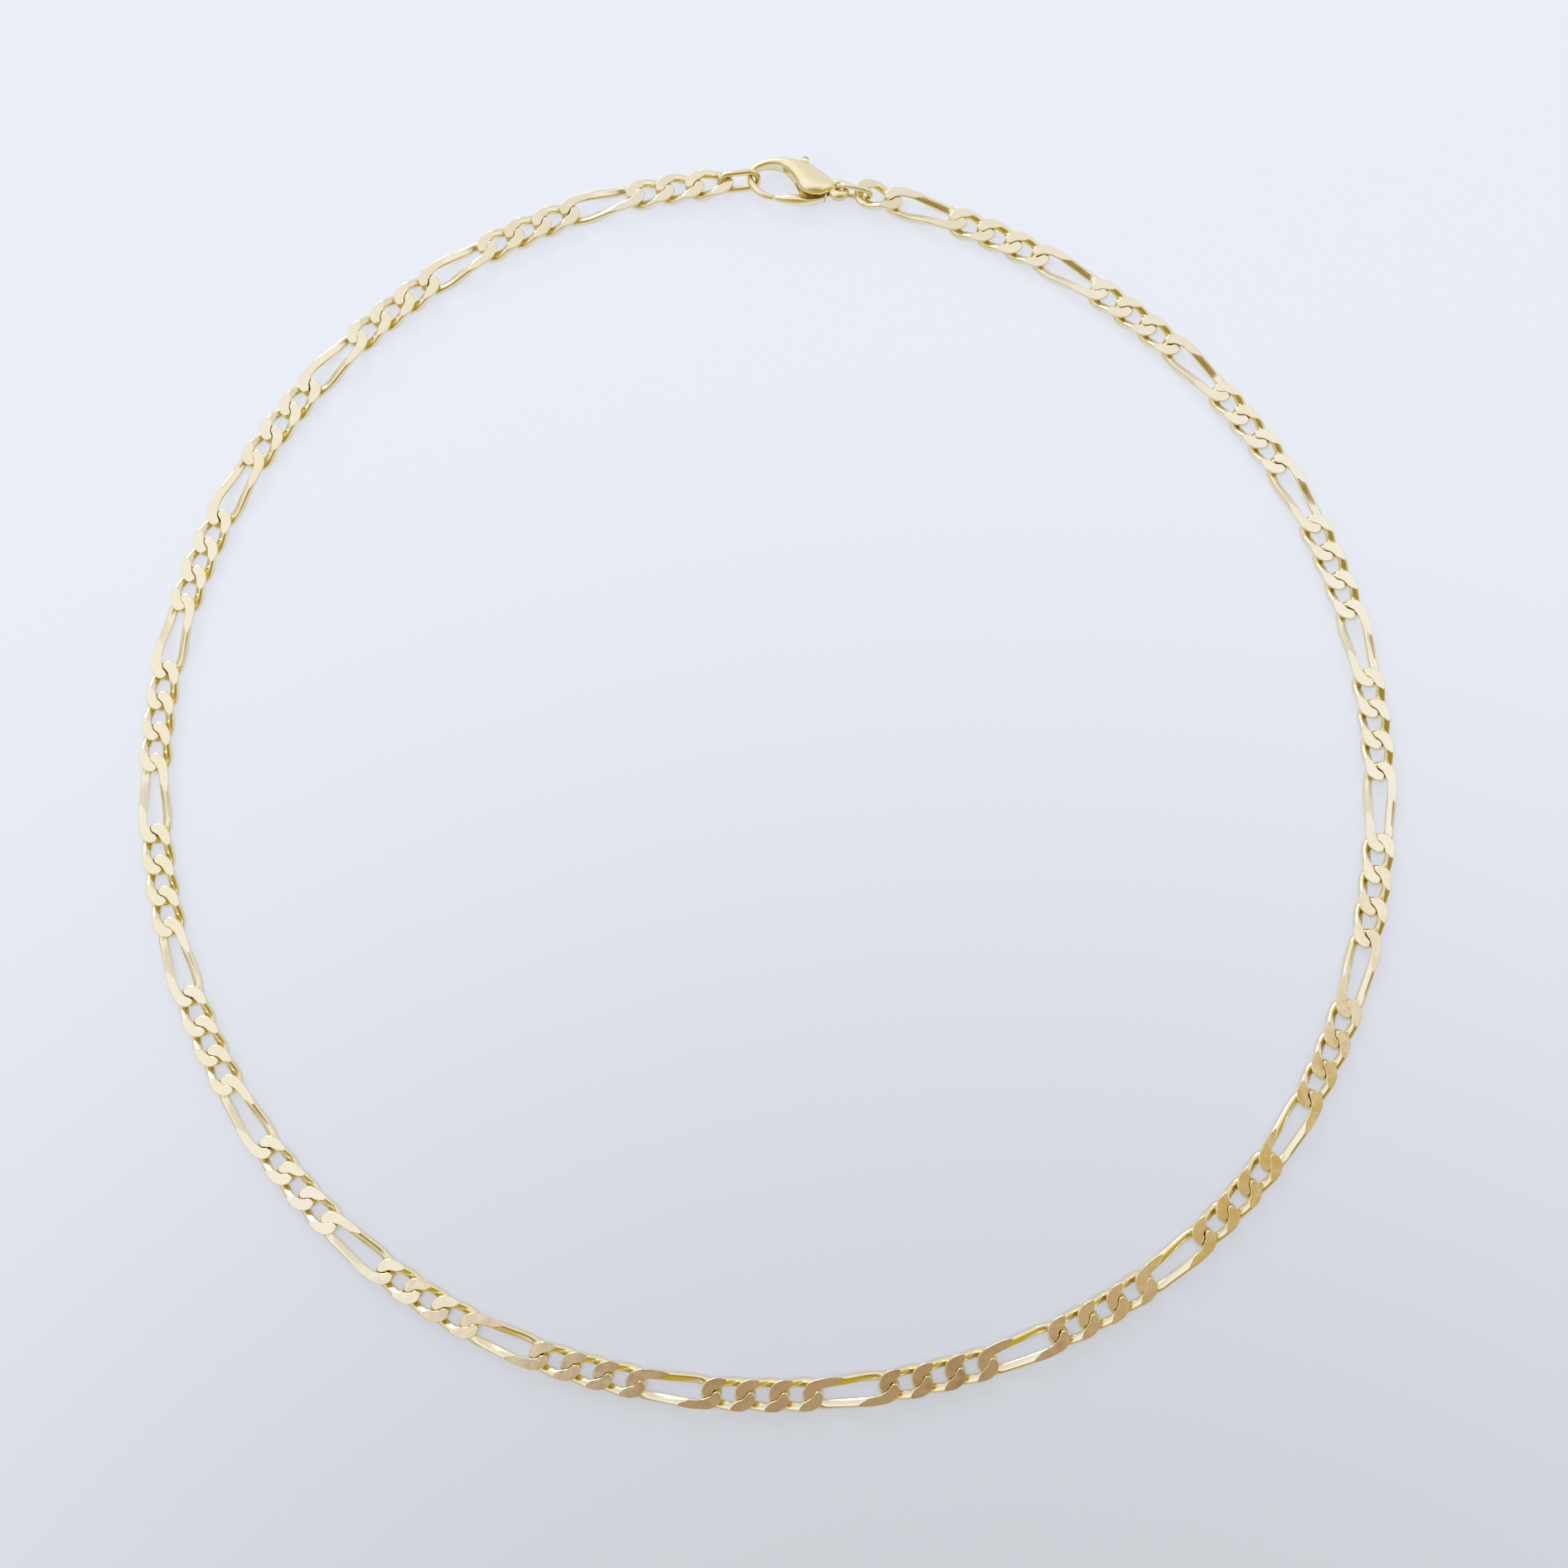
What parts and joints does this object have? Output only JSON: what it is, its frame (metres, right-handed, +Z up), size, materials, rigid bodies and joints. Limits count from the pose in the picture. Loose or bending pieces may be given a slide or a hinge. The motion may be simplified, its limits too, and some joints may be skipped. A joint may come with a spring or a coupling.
{
  "type": "chain necklace",
  "caption": "Closed flat Figaro chain necklace laid in a loop, its ends joined by oval rings and a lobster clasp with a sprung lever.",
  "frame": {"origin": "on the surface the necklace lies on, under the middle of its outline", "axes": "+Z up, +Y towards the clasp, +X to the right when seen from above"},
  "size_m": [0.1626, 0.1646, 0.003],
  "materials": {
    "chain_gold": "polished",
    "clasp_gold": "polished"
  },
  "bodies": {
    "necklace": {"chain_left": "chain_gold", "chain_right": "chain_gold", "end_ring": "chain_gold", "clasp_ring": "chain_gold", "clasp_body": "clasp_gold", "clasp_pin": "chain_gold"},
    "lever": {"clasp_lever": "clasp_gold"}
  },
  "joints": [
    {"name": "lever_hinge", "type": "hinge", "parent": "necklace", "child": "lever", "pos_m": [0.00776, 0.07703, 0.0014], "axis": [0, 0, -1], "range_deg": [0, 22], "stiffness_Nm_per_rad": 0.004, "springref_deg": -34.38}
  ]
}
